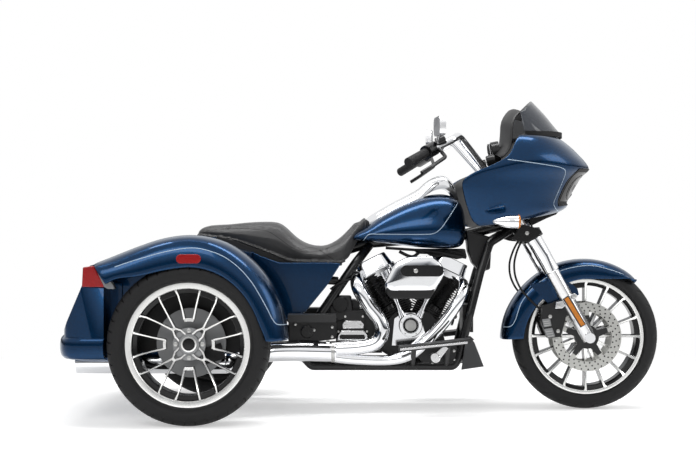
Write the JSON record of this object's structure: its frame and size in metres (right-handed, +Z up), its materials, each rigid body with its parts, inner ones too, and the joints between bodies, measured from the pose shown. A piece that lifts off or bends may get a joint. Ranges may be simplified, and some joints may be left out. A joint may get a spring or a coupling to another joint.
{
  "type": "motorized trike",
  "caption": "Touring motorcycle with one steered front wheel, two driven rear wheels, frame-mounted fairing, V-twin engine and a luggage body between the rear fenders",
  "frame": {"origin": "on the ground below the middle of the overall box", "axes": "+X forward along the length, +Y to the rider's left, +Z up"},
  "size_m": [2.5719, 1.398, 1.352],
  "materials": {
    "blue_paint": "gloss metallic paint",
    "black_paint": "gloss black powder coat",
    "chrome": "polished",
    "black_engine": "wrinkle black with machined edges",
    "alloy": "machined faces, black pockets",
    "brushed_steel": "ground",
    "tyre": "matt",
    "seat_vinyl": "grained",
    "rubber": "matt",
    "black_plastic": "fine grain",
    "smoked_screen": "tinted",
    "lamp_lens": "dark lens",
    "red_lens": "clear gloss",
    "grey_plastic": "satin"
  },
  "bodies": {
    "chassis": {"air_cleaner": "chrome", "brake_pedal": "black_paint", "cam_cover": "chrome", "chin_spoiler": "grey_plastic", "crankcase": "black_engine", "cylinder_front": "black_engine", "cylinder_rear": "black_engine", "dash": "black_plastic", "exhaust_headers": "chrome", "fairing": "blue_paint", "fairing_bracket": "black_paint", "fender_rear_left": "blue_paint", "fender_rear_right": "blue_paint", "footboards": "black_paint", "frame_backbone": "black_paint", "frame_downtubes": "black_paint", "frame_posts": "black_paint", "frame_rails": "black_paint", "fuel_tank": "blue_paint", "gearbox": "black_engine", "headlights": "lamp_lens", "muffler_left": "chrome", "muffler_right": "chrome", "oil_cooler": "black_plastic", "passenger_footboards": "black_paint", "plate_bracket": "black_paint", "primary_cover": "chrome", "rear_axle": "black_paint", "rear_body": "blue_paint", "rear_bumper": "blue_paint", "rear_calipers": "black_paint", "rocker_covers": "chrome", "seat": "seat_vinyl", "shift_lever": "black_paint", "side_covers": "blue_paint", "side_markers": "red_lens", "taillights": "red_lens", "tank_console": "chrome", "turn_signals": "chrome", "windscreen": "smoked_screen"},
    "steering": {"fork_legs": "chrome", "fork_clamps": "black_paint", "front_axle": "chrome", "front_fender": "blue_paint", "handlebar": "chrome", "grips": "rubber", "bar_controls": "black_paint", "mirrors": "chrome", "front_calipers": "black_paint", "brake_lines": "rubber"},
    "front_wheel": {"front_tyre": "tyre", "front_wheel": "alloy", "front_rotors": "brushed_steel"},
    "rear_wheel_left": {"rear_tyre_left": "tyre", "rear_wheel_left": "alloy", "rear_rotor_left": "brushed_steel"},
    "rear_wheel_right": {"rear_tyre_right": "tyre", "rear_wheel_right": "alloy", "rear_rotor_right": "brushed_steel"},
    "trunk_lid": {"trunk_lid": "blue_paint"}
  },
  "joints": [
    {"name": "steering_head", "type": "hinge", "parent": "chassis", "child": "steering", "pos_m": [0.66589, 0, 0.8224], "axis": [-0.4384, 0, 0.8988], "range_deg": [-35, 35]},
    {"name": "front_wheel_spin", "type": "hinge", "parent": "steering", "child": "front_wheel", "pos_m": [0.967, 0, 0.319], "axis": [0, 1, 0], "continuous": true},
    {"name": "rear_wheel_left_spin", "type": "hinge", "parent": "chassis", "child": "rear_wheel_left", "pos_m": [-0.71, 0.573, 0.325], "axis": [0, 1, 0], "continuous": true},
    {"name": "rear_wheel_right_spin", "type": "hinge", "parent": "chassis", "child": "rear_wheel_right", "pos_m": [-0.71, -0.573, 0.325], "axis": [0, 1, 0], "continuous": true},
    {"name": "trunk_lid_hinge", "type": "hinge", "parent": "chassis", "child": "trunk_lid", "pos_m": [-0.788, 0, 0.748], "axis": [0, 1, 0], "range_deg": [0, 60]}
  ]
}
